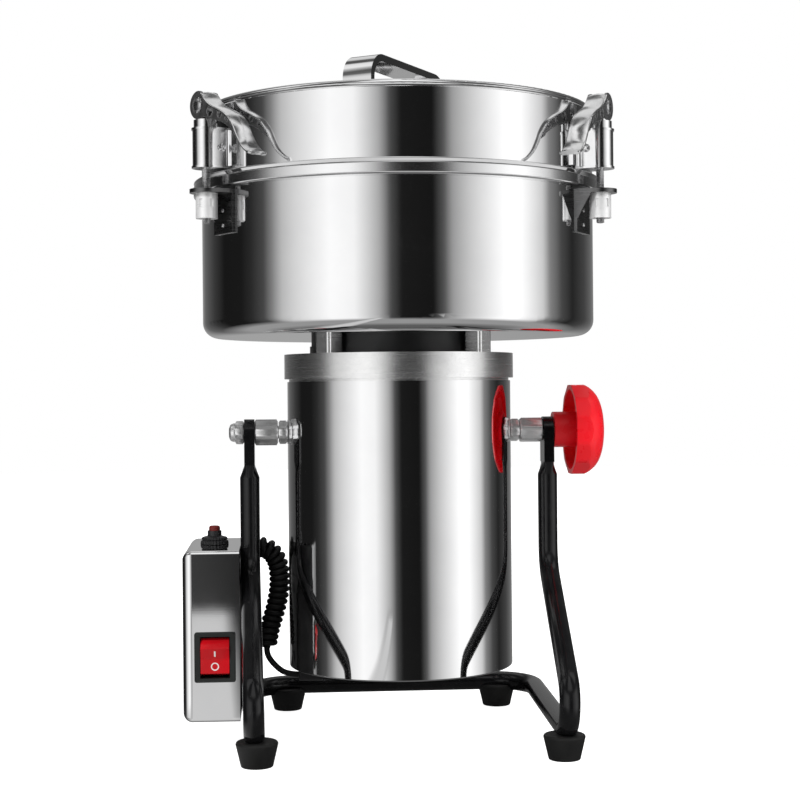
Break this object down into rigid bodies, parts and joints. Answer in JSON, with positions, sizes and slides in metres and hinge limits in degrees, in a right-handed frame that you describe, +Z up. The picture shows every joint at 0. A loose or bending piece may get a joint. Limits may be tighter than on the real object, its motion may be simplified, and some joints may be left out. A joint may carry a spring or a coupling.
{
  "type": "electric grain mill",
  "caption": "Swing-type electric grain mill: clamped steel bowl with cutting blades on a motor that tilts in a bent tube stand, with a switch box and clamping knob.",
  "frame": {"origin": "on the bench under the middle of the whole machine, without the motor lead; the motor axis stands 8 mm in front of it", "axes": "+Z up, +X to the machine's right with the knob, +Y to the rear"},
  "size_m": [0.271, 0.2777, 0.43],
  "materials": {
    "polished_steel": "mirror polished stainless steel",
    "zinc_steel": "bright zinc plated",
    "cast_aluminium": "machined casting",
    "black_gloss_paint": "gloss black powder coat",
    "black_steel": "satin black",
    "rubber": "matte black rubber",
    "silicone": "translucent white silicone",
    "black_plastic": "fine moulded texture",
    "red_plastic": "gloss moulded",
    "switch_plastic": "satin moulded",
    "lead_jacket": "satin curly lead jacket",
    "grey_plastic": "grey moulded",
    "brass": "turned",
    "steel": "machined steel",
    "laminations": "varnished laminations",
    "copper_winding": "enamelled copper wire",
    "carbon": "graphite",
    "blade_steel": "hardened blade steel"
  },
  "bodies": {
    "stand": {"stand_tube": "black_gloss_paint", "rubber_feet": "rubber", "stand_screws": "black_steel", "box_cover": "polished_steel", "box_back": "black_steel", "box_bracket": "black_steel", "switch_body": "switch_plastic", "switch_terminals": "brass", "breaker_body": "black_plastic", "breaker_nut": "black_plastic", "cord_glands": "black_plastic", "motor_lead_coil": "lead_jacket", "motor_lead_tail": "lead_jacket"},
    "rocker": {"rocker": "red_plastic"},
    "breaker_button": {"breaker_button": "red_plastic"},
    "motor_unit": {"pivot_studs": "zinc_steel", "pivot_plates": "steel", "pivot_nuts": "zinc_steel", "acorn_nut": "zinc_steel", "motor_shell": "polished_steel", "motor_base": "cast_aluminium", "tie_bolts": "zinc_steel", "lead_gland_motor": "grey_plastic", "upper_casting": "cast_aluminium", "insulator_disc": "black_plastic", "stator_core": "laminations", "stator_coils": "copper_winding", "brush_holders": "brass", "carbon_brushes": "carbon", "bearing_outer_races": "steel", "bowl": "polished_steel", "bowl_screws": "zinc_steel", "shaft_seal": "rubber", "clamp_brackets": "zinc_steel", "thimble_nuts": "zinc_steel"},
    "knob": {"knob": "red_plastic", "knob_insert": "brass"},
    "rotor": {"rotor_shaft": "steel", "rotor_core": "laminations", "rotor_windings": "copper_winding", "commutator": "copper_winding", "cooling_fan": "black_plastic", "bearing_inner_races": "steel", "lower_blade": "blade_steel", "blade_spacer": "steel", "upper_blade": "blade_steel", "blade_nut": "steel"},
    "lid": {"lid_shell": "polished_steel", "lid_gasket": "silicone", "lid_handle": "polished_steel", "handle_fixings": "zinc_steel", "clamp_housings": "zinc_steel", "clamp_caps": "zinc_steel", "clamp_screws": "zinc_steel", "clamp_rod_left": "zinc_steel", "clamp_rod_right": "zinc_steel", "clamp_rod_rear": "zinc_steel"},
    "clamp_lever_left": {"clamp_lever_left": "zinc_steel"},
    "clamp_lever_right": {"clamp_lever_right": "zinc_steel"},
    "clamp_lever_rear": {"clamp_lever_rear": "zinc_steel"}
  },
  "joints": [
    {"name": "swing", "type": "hinge", "parent": "stand", "child": "motor_unit", "pos_m": [0, -0.008, 0.1947], "axis": [1, 0, 0], "range_deg": [-30, 95], "deforming": ["motor_lead_coil", "motor_lead_tail"]},
    {"name": "rotor_spin", "type": "hinge", "parent": "motor_unit", "child": "rotor", "pos_m": [0, -0.008, 0.15], "axis": [0, 0, 1], "continuous": true},
    {"name": "knob_turn", "type": "hinge", "parent": "motor_unit", "child": "knob", "pos_m": [0.115, -0.008, 0.1947], "axis": [1, 0, 0], "range_deg": [0, 540]},
    {"name": "lid_lift", "type": "slide", "parent": "motor_unit", "child": "lid", "axis": [0, 0, 1], "range_m": [0, 0.12]},
    {"name": "rocker_tilt", "type": "hinge", "parent": "stand", "child": "rocker", "pos_m": [-0.1179, -0.035, 0.0564], "axis": [-1, 0, 0], "range_deg": [0, 16]},
    {"name": "breaker_press", "type": "slide", "parent": "stand", "child": "breaker_button", "axis": [0, 0, -1], "range_m": [0, 0.002], "stiffness_N_per_m": 400, "springref_m": -0.002},
    {"name": "lever_left", "type": "hinge", "parent": "lid", "child": "clamp_lever_left", "pos_m": [-0.1189, -0.07665, 0.3919], "axis": [-0.809, -0.5878, 0], "range_deg": [0, 95]},
    {"name": "lever_right", "type": "hinge", "parent": "lid", "child": "clamp_lever_right", "pos_m": [0.1189, -0.07665, 0.3919], "axis": [-0.866, 0.5, 0], "range_deg": [0, 95]},
    {"name": "lever_rear", "type": "hinge", "parent": "lid", "child": "clamp_lever_rear", "pos_m": [0, 0.1293, 0.3919], "axis": [-0.1045, 0.9945, 0], "range_deg": [0, 95]}
  ]
}
